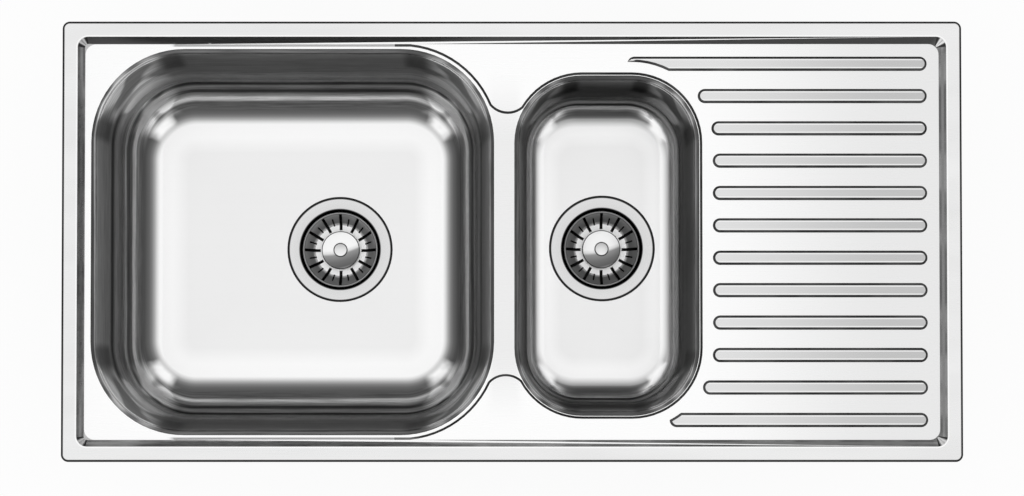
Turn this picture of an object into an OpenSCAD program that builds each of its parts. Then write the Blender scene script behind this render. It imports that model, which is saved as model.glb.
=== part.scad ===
// One and a half bowl sink with a ribbed drainer, set into a worktop from above.
// The origin is the centre of the rim on the worktop plane, which is Z = 0.
// +X points to the drainer, +Y to the back and +Z up.

/* [Rim and deck] */
// Length of the sink over the rim
sink_l = 980; // [960:1:1080]
// Width of the sink over the rim, front to back
sink_w = 480; // [470:1:540]
// Thickness of the pressed steel sheet
sheet_t = 0.8; // [0.6:0.1:1.2]
// Radius of the rim's outer corners in plan
corner_r = 8; // [5:0.5:9]
// Height of the rim's top above the worktop
rim_h = 4; // [3.5:0.1:6]
// Radius of the rolled outer edge
edge_r = 2; // [1.5:0.1:2.5]
// Width of the flat rim
rim_w = 16.8; // [16.5:0.1:19]
// Width of the sloped step inside the rim, in plan
step_w = 7.2; // [5:0.1:8]
// Depth of the deck below the rim
step_h = 7; // [5:0.1:8]
// Corner radius of the step in plan
step_r = 11.5; // [8:0.5:20]
// Depth of the lowered border and spillway below the deck
spill_h = 2.5; // [1.5:0.1:3.5]
// Width of the slope down to the lowered border, in plan
spill_w = 2.5; // [1.5:0.1:3.5]
// Flat lowered border round the main bowl
main_border = 3; // [2:0.1:4]
// Flat lowered border round the half bowl
half_border = 0.6; // [0.4:0.1:2]
// Radius of the ledge's tip between the two bowls
lobe_r = 26; // [22:1:32]

/* [Bowls] */
// Distance from the sink's left edge to the main bowl's opening
main_left_gap = 30.6; // [28:0.1:34]
// Distance from the sink's front and back edges to the main bowl's opening
main_side_gap = 29; // [28:0.5:40]
// Length of the main bowl's opening
main_l = 440; // [400:1:460]
// Corner radius of the main bowl's opening
main_r = 102; // [96:1:120]
// Depth of the main bowl below its lip
main_depth = 155; // [130:1:200]
// Radius between the main bowl's wall and its floor
main_floor_r = 42; // [30:1:48]
// Lean of the main bowl's wall, in degrees
main_draft = 7; // [4:0.5:8]
// Distance between the two bowls' openings
bowl_gap = 22.1; // [20:0.1:26]
// Length of the half bowl's opening
half_l = 202; // [198:1:210]
// Distance from the sink's front edge to the half bowl's opening
half_front_gap = 50; // [46:0.5:64]
// Distance from the sink's back edge to the half bowl's opening
half_back_gap = 58; // [50:0.5:64]
// Corner radius of the half bowl's opening
half_r = 74; // [70:1:80]
// Depth of the half bowl below its lip
half_depth = 135; // [110:1:180]
// Radius between the half bowl's wall and its floor
half_floor_r = 22; // [16:1:28]
// Lean of the half bowl's wall, in degrees
half_draft = 4; // [3:0.5:6]
// Radius of the rounded lip of both bowls
lip_r = 6; // [4:0.5:7]

/* [Drainer] */
// Number of ribs
rib_n = 12; // [9:1:13]
// Distance from the sink's edge to the middle of the first and last ribs
rib_edge = 45.6; // [42:0.1:60]
// Width of a rib at its foot
rib_w = 15.7; // [12:0.1:18]
// Width of a rib's sloped side, in plan
rib_bevel = 2.6; // [2:0.1:3.2]
// Height of a rib above the deck
rib_h = 2; // [1.5:0.1:2.6]
// Gap from the half bowl's opening to the ribs' left ends
rib_gap = 14.4; // [12:0.1:20]
// Gap from the ribs' right ends to the foot of the step
rib_end_gap = 13; // [6:0.1:30]
// Length of the back rib's tail, past where the other ribs end
back_tail_l = 93; // [60:1:100]
// Length of the front rib's tail, past where the other ribs end
front_tail_l = 47.5; // [30:0.5:70]

/* [Wastes] */
// Distance of the main waste from its bowl's centre, along the sink
main_waste_dx = 44; // [0:1:70]
// Outer radius of the flange's ring
flange_r = 59.5; // [57:0.5:61]
// Radius where the flange's flat ring ends and its shoulder starts
flange_mouth_r = 47.5; // [47:0.1:49]
// Radius of the flange's shoulder
shoulder_r = 2.5; // [1.5:0.1:3]
// Thickness of the flange's steel
flange_t = 1; // [0.8:0.1:1.2]
// Depth of the flange's cup below the bowl's floor
cup_depth = 30; // [28:0.5:36]
// Radius of the cup below its seat
cup_r = 38.5; // [36:0.5:40]
// Thickness of the rubber gasket above the bowl's floor
top_gasket_t = 1.8; // [1:0.1:2.5]
// Thickness of the rubber gasket below the bowl's floor
low_gasket_t = 3; // [2:0.1:4]
// Outer radius of the basket's rim
basket_r = 43.2; // [42:0.1:43.6]
// Outer radius of the basket's flat bottom
basket_floor_r = 30; // [28.5:0.1:32]
// Depth of the basket's rim below the bowl's floor
basket_top = 5; // [4:0.5:8]
// Height of the basket, rim to floor
basket_h = 19; // [15:0.5:20]
// Thickness of the basket's steel
basket_t = 0.8; // [0.6:0.1:1]
// Number of long slots in the basket, with as many short ones between them
slot_n = 12; // [8:1:14]
// Width of a long slot
slot_w = 2.5; // [1.5:0.1:3]
// Width of a short slot
short_slot_w = 1.2; // [0.8:0.1:1.6]
// Distance from the basket's middle to a long slot's inner end
slot_from = 24.7; // [23:0.1:26]
// Radius of the rubber stopper under the basket
stopper_r = 23; // [21:0.1:24]
// Radius of the knob
knob_r = 21.8; // [19:0.1:23]
// Height of the knob's dome
dome_h = 6; // [4:0.1:7]
// Radius of the button in the middle of the knob
button_r = 8; // [7:0.1:9]
// Outer radius of the outlet, for a 1 1/2 inch coupling
outlet_r = 23.9; // [21:0.1:24.5]
// Length of the outlet below the waste's body
outlet_l = 34; // [25:1:60]
// Wall of the plastic waste body
body_wall = 2.8; // [2:0.1:3.5]
// Radius of the clamp screw
clamp_screw_r = 3; // [2.5:0.1:3.5]

/* [Fixings] */
// Thickness of the worktop that the claws grip
worktop_t = 30; // [24:1:40]
// Distance from the outer edge to the worktop's cut edge
cutout_in = 10; // [9:0.1:10.5]
// Width of the foam seal
seal_w = 6.8; // [5:0.1:7]
// Thickness of the rails' steel
rail_t = 1; // [0.8:0.1:1.2]
// Height of the rails
rail_h = 15; // [12:0.5:18]
// Length of a long rail
long_rail_l = 860; // [780:1:900]
// Length of a short rail
short_rail_l = 360; // [300:1:390]
// Distance between the outer clips of a long side
clip_span = 660; // [500:1:740]
// Thickness of the clips' steel
clip_t = 2; // [1.5:0.1:2.5]
// Width of a clip's hook
hook_w = 18; // [14:0.5:24]
// Width of a claw
claw_w = 16; // [12:0.5:20]
// Height of a claw's teeth above its plate
claw_h = 6; // [4:0.5:8]
// Distance from the outer edge to a clip's screw
screw_in = 21; // [20.5:0.1:22]
// Radius of a clip's screw
screw_r = 2.5; // [2:0.1:3]
// Travel of a claw between clamped and released
claw_travel = 10; // [6:0.5:11]

/* [Sound pads] */
// Thickness of the sound pads
pad_t = 3; // [2:0.5:5]
// Length of the main bowl's pad
main_pad_l = 120; // [80:1:125]
// Width of the main bowl's pad, front to back
main_pad_w = 200; // [120:1:220]
// Length of the half bowl's pad
half_pad_l = 110; // [60:1:120]
// Width of the half bowl's pad, front to back
half_pad_w = 60; // [40:1:64]

/* [Clearances] */
// Gap round a pin or screw in its hole
pin_gap = 0.1; // [0.05:0.01:0.15]
// Gap between pieces that lie side by side
side_gap = 0.3; // [0.2:0.05:0.5]

/* [Hidden] */
$fn = 96;

deck_z = rim_h - step_h;
low_z = deck_z - spill_h;
step_slope = step_w / step_h;
// how far the sheet's underside of a slope moves sideways, to keep the sheet's thickness
under_shift = sheet_t * tan(22.5);
over = 1;
skin = 0.01;
cut_low = 30;
cut_high = 10;

main_w = sink_w - 2 * main_side_gap;
half_w = sink_w - half_front_gap - half_back_gap;
main_x = main_left_gap + (main_l - sink_l) / 2;
half_x = main_x + (main_l + half_l) / 2 + bowl_gap;
half_y = (half_front_gap - half_back_gap) / 2;

main_floor_z = low_z - main_depth;
half_floor_z = low_z - half_depth;
main_waste_x = main_x + main_waste_dx;

rib_right = sink_l / 2 - rim_w - step_w - rib_end_gap;
rib_left = half_x + half_l / 2 + rib_gap;
rib_y0 = rib_edge - sink_w / 2;
rib_pitch = (sink_w - 2 * rib_edge) / (rib_n - 1);

// the waste's heights are below the top of the bowl's floor
flange_top = 0.4;
flange_low = flange_top + flange_t;
recess_d = flange_low + top_gasket_t;
flange_gap = 0.8;
recess_r = flange_r + flange_gap;
recess_wall = 2;
floor_hole_r = flange_mouth_r;
mouth_r = flange_mouth_r - shoulder_r;
seat_d = 14;
seat_drop = mouth_r - cup_r;
seat_shift = flange_t * tan(22.5);
body_top = recess_d + sheet_t + low_gasket_t;
gasket_in = 1.5;
gasket_lap = 6;
gasket_low_r = floor_hole_r + gasket_lap;
cup_low = cup_depth + flange_t;
drain_hole_r = 3.6;
drain_ring_r = 13;
basket_floor = basket_top + basket_h;
stopper_disc = basket_floor + basket_t;
stopper_t = 1.5;
screw_head_r = 5.5;
screw_head_h = 2;
boss_wall = 4;
boss_r = clamp_screw_r + boss_wall;
clamp_screw_l = 20;
pin_r = 2.5;
knob_skirt = 2;
neck_r = 6;
dome_base = basket_floor - 8;
ball_r = (pow(knob_r, 2) + pow(dome_h, 2)) / (2 * dome_h);
slot_in = 2.6;
short_slot_in = 6.4;
button_d = 1.6;
rivet_r = 4;
rivet_h = 0.9;

rail_gap = 0.5;
rail_in = cutout_in + rail_gap;
seal_gap = 0.2;
seal_in = edge_r + seal_gap;
rail_flange_w = 5.5;
rail_lip_w = 3.8;
bend_in = 1;
rail_low = rim_h - sheet_t - rail_h;
hook_in = rail_in + rail_lip_w + bend_in;
hook_drop = 6;
hook_low = rail_low + rail_t - hook_drop;
hook_reach = screw_in + 5;
claw_out = 3;
claw_plate_top = -worktop_t - claw_h;
claw_low = claw_plate_top - clip_t;
screw_top = -4;
screw_cap_r = 5;
screw_cap_h = 3.4;
cap_gap = 0.1;
clip_x = [-clip_span / 2, 0, clip_span / 2];

main_pad_gap = 12;
half_pad_gap = 9;
pad_r = 12;

// A rounded rectangle about the origin
module round_rect(l, w, r) {
    square([l - 2 * r, w], center = true);
    square([l, w - 2 * r], center = true);
    for (x = [-1, 1], y = [-1, 1])
        translate([x * (l / 2 - r), y * (w / 2 - r)])
            circle(r);
}

// Sweeps a section round a rounded rectangle. The section's X is the distance from
// the corner's centre, and its Y is the height.
module sweep_round(l, w, r) {
    for (turn = [0, 180])
        rotate([0, 0, turn]) {
            translate([l / 2 - r, w / 2 - r, 0])
                rotate_extrude(angle = 90)
                    children();
            translate([r - l / 2, w / 2 - r, 0])
                rotate([0, 0, 90])
                    rotate_extrude(angle = 90)
                        children();
            translate([r - l / 2, w / 2 - r, 0])
                rotate([90, 0, 90])
                    linear_extrude(l - 2 * r)
                        children();
            translate([l / 2 - r, w / 2 - r, 0])
                rotate([90, 0, 0])
                    linear_extrude(w - 2 * r)
                        children();
        }
}

// A quarter ring for a bend in sheet, from +X to +Y about the bend's centre
module bend(outer_r, t) {
    intersection() {
        difference() {
            circle(outer_r);
            circle(outer_r - t);
        }
        square(outer_r + over);
    }
}

// A shallow basin with sloped sides: open above, its foot is l by w
module basin(l, w, r, slope_w, slope_h) {
    top_r = r + slope_w * (slope_h + over) / slope_h;
    sweep_round(l, w, r)
        polygon([[0, 0], [r, 0], [top_r, slope_h + over], [0, slope_h + over]]);
    translate([r - l / 2, r - w / 2, 0])
        cube([l - 2 * r, w - 2 * r, slope_h + over]);
}

// The rounded skirt round the rim, in a band as wide as the corner's radius
module rim_roll() {
    sweep_round(sink_l, sink_w, corner_r) {
        translate([0, rim_h - sheet_t])
            square([corner_r - edge_r, sheet_t]);
        translate([corner_r - edge_r, rim_h - edge_r])
            bend(edge_r, sheet_t);
        translate([corner_r - sheet_t, 0])
            square([sheet_t, rim_h - edge_r]);
    }
}

// The space inside the rim's sloped step, carried on down to the lowered border
module step_space(grow) {
    top_in = rim_w - step_slope * over - grow;
    foot_in = rim_w + step_slope * (step_h + spill_h + over) - grow;
    hull() {
        translate([0, 0, rim_h + over - skin])
            linear_extrude(skin)
                round_rect(sink_l - 2 * top_in, sink_w - 2 * top_in, step_r, $fn = 48);
        translate([0, 0, low_z - over])
            linear_extrude(skin)
                round_rect(sink_l - 2 * foot_in, sink_w - 2 * foot_in, step_r, $fn = 48);
    }
}

// The centre of a circle of radius lobe_r that bites a little into both bowls' borders
lobe_bite = 1;
function main_corner(side) = [main_x + main_l / 2 - main_r, side * (main_w / 2 - main_r)];
function half_corner(side) = [half_x - half_l / 2 + half_r, half_y + side * (half_w / 2 - half_r)];
function lobe_centre(side) =
    let (
        a = main_corner(side),
        b = half_corner(side),
        ra = main_r + main_border + lobe_r - lobe_bite,
        rb = half_r + half_border + lobe_r - lobe_bite,
        d = norm(b - a),
        u = (b - a) / d,
        along = (pow(ra, 2) - pow(rb, 2) + pow(d, 2)) / (2 * d),
        up = sqrt(pow(ra, 2) - pow(along, 2))
    )
    a + along * u + side * up * [-u[1], u[0]];
// where the spillway's straight block ends, inside both bites
function spill_end(side) =
    let (
        a = main_corner(side),
        b = half_corner(side),
        c = lobe_centre(side),
        at_main = a + (main_r + main_border) * (c - a) / norm(c - a),
        at_half = b + (half_r + half_border) * (c - b) / norm(c - b)
    )
    (at_main[1] + at_half[1]) / 2;

// The lowered border round both bowls, and the spillway between them
module lowered_space(grow) {
    translate([main_x, 0, low_z])
        basin(
            main_l + 2 * (main_border + grow),
            main_w + 2 * (main_border + grow),
            main_r + main_border + grow,
            spill_w, spill_h
        );
    translate([half_x, half_y, low_z])
        basin(
            half_l + 2 * (half_border + grow),
            half_w + 2 * (half_border + grow),
            half_r + half_border + grow,
            spill_w, spill_h
        );
    difference() {
        translate([main_corner(1)[0], spill_end(-1), low_z])
            cube([
                half_corner(1)[0] - main_corner(1)[0],
                spill_end(1) - spill_end(-1),
                spill_h + over
            ]);
        for (side = [-1, 1])
            translate([lobe_centre(side)[0], lobe_centre(side)[1], low_z])
                cylinder(
                    h = spill_h + over,
                    r1 = lobe_r - grow,
                    r2 = lobe_r - grow - spill_w * (spill_h + over) / spill_h
                );
    }
}

// One drainer rib from left to right, its foot on Z = 0
module rib(left, right, shrink) {
    foot = rib_w / 2 - shrink;
    top = foot - rib_bevel;
    section = [[0, -over], [foot, -over], [foot, 0], [top, rib_h], [0, rib_h]];
    translate([left + foot, 0, 0]) {
        for (side = [0, 1])
            mirror([0, side, 0])
                rotate([90, 0, 90])
                    linear_extrude(right - left - 2 * foot)
                        polygon(section);
        rotate([0, 0, 90])
            rotate_extrude(angle = 180)
                polygon(section);
    }
    translate([right - foot, 0, 0])
        rotate([0, 0, -90])
            rotate_extrude(angle = 180)
                polygon(section);
}

// Where a rib at height y starts: beside the half bowl, or round its corner
function rib_start(y) =
    let (
        side = y < half_y ? -1 : 1,
        corner_y = half_y + side * (half_w / 2 - half_r),
        past = max(0, side * (y - corner_y)),
        r = half_r + rib_gap
    )
    past >= r ? half_x + half_l / 2 - half_r : half_x + half_l / 2 - half_r + sqrt(pow(r, 2) - pow(past, 2));

// All the ribs. The first and last keep a tail that is cut to follow the half bowl's corner.
module ribs(shrink) {
    intersection() {
        for (i = [0 : rib_n - 1]) {
            y = rib_y0 + i * rib_pitch;
            tail = i == 0 ? front_tail_l : i == rib_n - 1 ? back_tail_l : 0;
            left = tail > 0 ? rib_left - tail : rib_start(y);
            difference() {
                translate([0, y, 0])
                    rib(left + shrink, rib_right - shrink, shrink);
                if (tail > 0)
                    for (side = [-1, 1])
                        translate([
                            half_x + half_l / 2 - half_r,
                            half_y + side * (half_w / 2 - half_r),
                            -2 * over
                        ])
                            cylinder(
                                h = rib_h + 4 * over,
                                r1 = half_r + rib_gap + shrink - rib_bevel * 2 * over / rib_h,
                                r2 = half_r + rib_gap + shrink + rib_bevel * (rib_h + 2 * over) / rib_h
                            );
            }
        }
        translate([0, -sink_w / 2, -over])
            cube([sink_l / 2, sink_w, rib_h + 2 * over]);
    }
}

// Everything below the sheet's top face, inside the rim's rolled band
module below_face(grow) {
    margin = corner_r - (grow > 0 ? over : 0);
    difference() {
        translate([margin - sink_l / 2, margin - sink_w / 2, -cut_low])
            cube([sink_l - 2 * margin, sink_w - 2 * margin, cut_low + rim_h]);
        intersection() {
            step_space(grow);
            union() {
                translate([-sink_l / 2, -sink_w / 2, deck_z])
                    cube([sink_l, sink_w, step_h + 2 * over]);
                lowered_space(grow);
            }
        }
    }
    translate([0, 0, deck_z])
        ribs(grow);
}

module deck() {
    color("silver") {
        difference() {
            below_face(0);
            translate([0, 0, -sheet_t])
                below_face(under_shift);
            translate([main_x, 0, -cut_low])
                linear_extrude(cut_low + cut_high)
                    round_rect(main_l, main_w, main_r);
            translate([half_x, half_y, -cut_low])
                linear_extrude(cut_low + cut_high)
                    round_rect(half_l, half_w, half_r);
        }
        rim_roll();
    }
}

// The bowl's wall in section: lip, leaning wall, floor radius and the floor's edge, with the
// lip's edge at x = r. Straight stretches cross the arcs by a hair instead of just touching
// them, and each end lies inside the next stretch.
cross = 0.004;
lip_lap = 0.4;
floor_lap = 1;
function floor_inset(depth, floor_r, draft) =
    (lip_r + floor_r) * cos(draft)
    + (depth - (lip_r + floor_r) * (1 - sin(draft))) * tan(draft);

module bowl_section(r, depth, floor_r, draft) {
    big = 2 * (lip_r + floor_r);
    down = [-sin(draft), -cos(draft)];
    inward = [-cos(draft), sin(draft)];
    lip_c = [r, -lip_r];
    floor_c = [r - floor_inset(depth, floor_r, draft), floor_r - depth - cross];
    lip_end = (lip_r - sheet_t) * inward;
    floor_end = -floor_r * inward;
    translate(lip_c)
        intersection() {
            difference() {
                circle(lip_r);
                circle(lip_r - sheet_t);
            }
            polygon([
                [0, 0], [0, big], [-big, big],
                lip_end + big * (sheet_t * inward + lip_lap * down), lip_end
            ]);
        }
    polygon([
        lip_c + (lip_r - cross) * inward,
        floor_c - (floor_r - cross) * inward + floor_lap * down,
        floor_c - (floor_r + sheet_t - cross) * inward,
        lip_c + (lip_r - sheet_t - cross) * inward - lip_lap * down
    ]);
    translate(floor_c)
        intersection() {
            difference() {
                circle(floor_r + sheet_t);
                circle(floor_r);
            }
            polygon([
                floor_end, [0, -floor_r], [-big * floor_lap, -floor_r - big * sheet_t],
                [big, -big - floor_r - big * sheet_t],
                floor_end - big * (sheet_t * inward + floor_lap * down)
            ]);
        }
    translate([floor_c[0], -depth])
        polygon([
            [-2 * floor_lap, 0], [floor_lap, 0], [0, -sheet_t], [-2 * floor_lap, -sheet_t]
        ]);
}

// A drawn bowl with its lip's top at Z = 0 and a stamped recess round the waste hole
module bowl(l, w, r, depth, floor_r, draft, waste_x, waste_y) {
    plate_in = floor_inset(depth, floor_r, draft) + floor_lap;
    sweep_round(l, w, r)
        bowl_section(r, depth, floor_r, draft);
    translate([0, 0, -depth - sheet_t])
        linear_extrude(sheet_t)
            difference() {
                round_rect(l - 2 * plate_in, w - 2 * plate_in, r - plate_in);
                translate([waste_x, waste_y])
                    circle(recess_r);
            }
    translate([waste_x, waste_y, -depth])
        rotate_extrude()
            polygon([
                [recess_r, 0],
                [recess_r - recess_wall, -recess_d],
                [floor_hole_r, -recess_d],
                [floor_hole_r, -recess_d - sheet_t],
                [recess_r - recess_wall - under_shift, -recess_d - sheet_t],
                [recess_r - under_shift, -sheet_t],
                [recess_r, -sheet_t]
            ]);
}

module main_bowl() {
    color("silver")
        translate([main_x, 0, low_z])
            bowl(main_l, main_w, main_r, main_depth, main_floor_r, main_draft, main_waste_dx, 0);
}

module half_bowl() {
    color("silver")
        translate([half_x, half_y, low_z])
            bowl(half_l, half_w, half_r, half_depth, half_floor_r, half_draft, 0, -half_y);
}

module rim_seal() {
    color("dimgray")
        linear_extrude(rim_h - sheet_t)
            difference() {
                round_rect(sink_l - 2 * seal_in, sink_w - 2 * seal_in, corner_r - seal_in);
                square(
                    [sink_l - 2 * (seal_in + seal_w), sink_w - 2 * (seal_in + seal_w)],
                    center = true
                );
            }
}

// Puts a piece at the main waste or the half bowl's waste, at the top of the bowl's floor
module at_main_waste() {
    translate([main_waste_x, 0, main_floor_z])
        children();
}

module at_half_waste() {
    translate([half_x, 0, half_floor_z])
        children();
}

// Steel flange: a flat ring, a rounded shoulder, a cup with a sloped seat and a pierced floor
module waste_flange() {
    color("gainsboro")
        difference() {
            union() {
                rotate_extrude() {
                    translate([flange_mouth_r, -flange_low])
                        square([flange_r - flange_mouth_r, flange_t]);
                    translate([flange_mouth_r, -flange_top - shoulder_r])
                        mirror([1, 0])
                            bend(shoulder_r, flange_t);
                    translate([mouth_r, -seat_d])
                        square([flange_t, seat_d - flange_top - shoulder_r]);
                    polygon([
                        [mouth_r, -seat_d],
                        [cup_r, -seat_d - seat_drop],
                        [cup_r, -cup_depth],
                        [0, -cup_depth],
                        [0, -cup_low],
                        [cup_r + flange_t, -cup_low],
                        [cup_r + flange_t, -seat_d - seat_drop - seat_shift],
                        [mouth_r + flange_t, -seat_d - seat_shift],
                        [mouth_r + flange_t, -seat_d]
                    ]);
                }
            }
            translate([0, 0, -cup_low - over]) {
                cylinder(h = flange_t + 2 * over, r = clamp_screw_r + pin_gap);
                for (i = [0 : 7])
                    rotate([0, 0, 45 * i + 22.5])
                        translate([drain_ring_r, 0, 0])
                            cylinder(h = flange_t + 2 * over, r = drain_hole_r);
            }
        }
}

module flange_gasket() {
    color("black")
        translate([0, 0, -recess_d])
            linear_extrude(top_gasket_t)
                difference() {
                    circle(flange_r - gasket_in);
                    circle(floor_hole_r + side_gap);
                }
}

module body_gasket() {
    color("black")
        translate([0, 0, -body_top])
            linear_extrude(low_gasket_t)
                difference() {
                    circle(gasket_low_r);
                    circle(floor_hole_r + side_gap);
                }
}

// Plastic body: a cup round the flange, a boss on four ribs for the screw, and the outlet
module waste_body() {
    lip_t = 4;
    in_r = mouth_r + flange_t + 0.8;
    low_r = cup_r + flange_t + 1;
    neck_d = body_top + 14;
    cup_end = cup_low + 8;
    funnel_end = cup_end + 9;
    bore_r = outlet_r - body_wall - 1;
    color("whitesmoke") {
        rotate_extrude()
            polygon([
                [in_r, -body_top],
                [gasket_low_r + 1, -body_top],
                [gasket_low_r + 1, -body_top - lip_t],
                [in_r + body_wall, -body_top - lip_t],
                [in_r + body_wall, -neck_d],
                [low_r + body_wall, -neck_d - 6],
                [low_r + body_wall, -cup_end],
                [outlet_r, -funnel_end],
                [outlet_r, -funnel_end - outlet_l],
                [bore_r, -funnel_end - outlet_l],
                [bore_r, -funnel_end + 1],
                [low_r, -cup_end + 1],
                [low_r, -neck_d - 6],
                [in_r, -neck_d]
            ]);
        difference() {
            union() {
                translate([0, 0, -funnel_end])
                    cylinder(h = funnel_end - cup_low, r = boss_r);
                intersection() {
                    for (turn = [0, 90])
                        rotate([0, 0, turn])
                            translate([-low_r - 1, -1.25, -funnel_end])
                                cube([2 * low_r + 2, 2.5, funnel_end - cup_low - 2]);
                    rotate_extrude()
                        polygon([
                            [0, -funnel_end],
                            [bore_r + 0.5, -funnel_end],
                            [low_r + 0.5, -cup_end + 0.5],
                            [low_r + 0.5, -cup_low],
                            [0, -cup_low]
                        ]);
                }
            }
            translate([0, 0, -funnel_end - over])
                cylinder(h = funnel_end, r = clamp_screw_r + pin_gap);
        }
    }
}

module clamp_screw() {
    color("silver")
        translate([0, 0, -cup_depth]) {
            difference() {
                rotate_extrude()
                    polygon([
                        [0, 0],
                        [screw_head_r, 0],
                        [screw_head_r, 1],
                        [screw_head_r - 1.5, screw_head_h],
                        [0, screw_head_h]
                    ]);
                translate([-screw_head_r - over, -0.6, screw_head_h - 1.2])
                    cube([2 * (screw_head_r + over), 1.2, 2]);
            }
            translate([0, 0, -clamp_screw_l])
                cylinder(h = clamp_screw_l, r = clamp_screw_r);
        }
}

// A slot with round ends, from one radius to another
module slot(from_r, to_r, w) {
    translate([from_r + w / 2, -w / 2])
        square([to_r - from_r - w, w]);
    translate([from_r + w / 2, 0])
        circle(w / 2);
    translate([to_r - w / 2, 0])
        circle(w / 2);
}

// Steel basket: a rolled rim, a sloped wall and a flat bottom, pierced by slots
module basket() {
    rim_roll_r = 1.2;
    wall_top_r = basket_r - 2 * rim_roll_r + basket_t;
    color("silver")
        difference() {
            rotate_extrude() {
                translate([basket_r - rim_roll_r, -basket_top - rim_roll_r])
                    intersection() {
                        difference() {
                            circle(rim_roll_r);
                            circle(rim_roll_r - basket_t);
                        }
                        translate([-rim_roll_r - over, 0])
                            square(2 * rim_roll_r + 2 * over);
                    }
                polygon([
                    [wall_top_r - basket_t, -basket_top - rim_roll_r],
                    [basket_floor_r - basket_t, -basket_floor],
                    [0, -basket_floor],
                    [0, -basket_floor - basket_t],
                    [basket_floor_r, -basket_floor - basket_t],
                    [wall_top_r, -basket_top - rim_roll_r]
                ]);
            }
            translate([0, 0, -basket_floor - 2 * basket_t])
                linear_extrude(basket_h)
                    for (i = [0 : slot_n - 1])
                        rotate(i * 360 / slot_n) {
                            slot(slot_from, basket_r - slot_in, slot_w);
                            rotate(180 / slot_n)
                                slot(basket_floor_r + skin, basket_r - short_slot_in, short_slot_w);
                        }
            translate([0, 0, -basket_floor - 2 * basket_t])
                cylinder(h = 3 * basket_t, r = pin_r + pin_gap);
        }
}

// Rubber stopper: a disc under the basket with a skirt that closes on the cup's floor
module stopper() {
    skirt_w = 3.2;
    color("black")
        rotate_extrude()
            polygon([
                [pin_r + pin_gap, -stopper_disc],
                [stopper_r, -stopper_disc],
                [stopper_r, -cup_depth],
                [stopper_r - skirt_w, -cup_depth],
                [stopper_r - skirt_w, -stopper_disc - stopper_t],
                [pin_r + pin_gap, -stopper_disc - stopper_t]
            ]);
}

// Solid domed knob on a neck, with a recess for the button
module knob() {
    color("gainsboro")
        translate([0, 0, -dome_base])
            rotate_extrude()
                difference() {
                    union() {
                        intersection() {
                            translate([0, dome_h - ball_r])
                                circle(ball_r, $fn = 200);
                            square([knob_r, dome_h + over]);
                        }
                        translate([0, -knob_skirt])
                            square([knob_r, knob_skirt]);
                        translate([0, dome_base - basket_floor])
                            square([neck_r, basket_floor - dome_base]);
                    }
                    translate([0, dome_h - button_d])
                        square([button_r + side_gap, button_d + over]);
                    translate([0, dome_base - basket_floor - over])
                        square([pin_r + pin_gap, 30]);
                }
}

// Button and pin: the pin runs through the knob, the basket and the stopper to a riveted end
module knob_pin() {
    top = -dome_base + dome_h;
    foot = -stopper_disc - stopper_t;
    cap_rise = 1;
    cap_ball_r = (pow(button_r, 2) + pow(cap_rise, 2)) / (2 * cap_rise);
    color("gainsboro")
        rotate_extrude() {
            translate([0, top - button_d])
                square([button_r, button_d]);
            intersection() {
                translate([0, top + cap_rise - cap_ball_r])
                    circle(cap_ball_r, $fn = 200);
                translate([0, top - 0.2])
                    square([button_r, cap_rise + 1]);
            }
            translate([0, foot])
                square([pin_r, top - button_d - foot]);
            translate([0, foot - rivet_h])
                square([rivet_r, rivet_h]);
        }
}

// A folded rail along X: welded flange above, web, and a lip that points inwards
module rail(l) {
    rail_bend = 2 * rail_t;
    top = rim_h - sheet_t;
    translate([-l / 2, 0, 0])
        rotate([90, 0, 90])
            linear_extrude(l) {
                translate([rail_in + rail_bend, top - rail_t])
                    square([rail_flange_w - rail_bend, rail_t]);
                translate([rail_in + rail_bend, top - rail_bend])
                    mirror([1, 0])
                        bend(rail_bend, rail_t);
                translate([rail_in, rail_low + rail_bend])
                    square([rail_t, rail_h - 2 * rail_bend]);
                translate([rail_in + rail_bend, rail_low + rail_bend])
                    rotate(180)
                        bend(rail_bend, rail_t);
                translate([rail_in + rail_bend, rail_low])
                    square([rail_lip_w - rail_bend, rail_t]);
            }
}

module fixing_rails() {
    color("gray") {
        for (turn = [0, 180])
            rotate([0, 0, turn]) {
                translate([0, -sink_w / 2, 0])
                    rail(long_rail_l);
                translate([-sink_l / 2, 0, 0])
                    rotate([0, 0, -90])
                        rail(short_rail_l);
            }
    }
}

// Puts a piece at clip number i: 0 to 2 along the front, 3 to 5 along the back
module at_clip(i) {
    back = i > 2;
    translate([clip_x[i % 3], back ? sink_w / 2 : -sink_w / 2, 0])
        rotate([0, 0, back ? 180 : 0])
            children();
}

// A bent strip that hooks over the rail's lip and carries the screw's thread
module clip_hook() {
    tongue_in = rail_in + 2 * rail_t;
    hook_bend = clip_t + bend_in;
    hook_top = rail_low + rail_t + clip_t;
    difference() {
        translate([-hook_w / 2, 0, 0])
            rotate([90, 0, 90])
                linear_extrude(hook_w) {
                    translate([tongue_in, hook_top - clip_t])
                        square([hook_in + clip_t - hook_bend - tongue_in, clip_t]);
                    translate([hook_in + clip_t - hook_bend, hook_top - hook_bend])
                        bend(hook_bend, clip_t);
                    translate([hook_in, hook_low + hook_bend])
                        square([clip_t, hook_top - hook_low - 2 * hook_bend]);
                    translate([hook_in + hook_bend, hook_low + hook_bend])
                        rotate(180)
                            bend(hook_bend, clip_t);
                    translate([hook_in + hook_bend, hook_low])
                        square([hook_reach - hook_in - hook_bend, clip_t]);
                }
        translate([0, screw_in, hook_low - over])
            cylinder(h = clip_t + 2 * over, r = screw_r + pin_gap);
    }
}

module clip_hooks() {
    color("gray")
        for (i = [0 : 5])
            at_clip(i)
                clip_hook();
}

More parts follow.
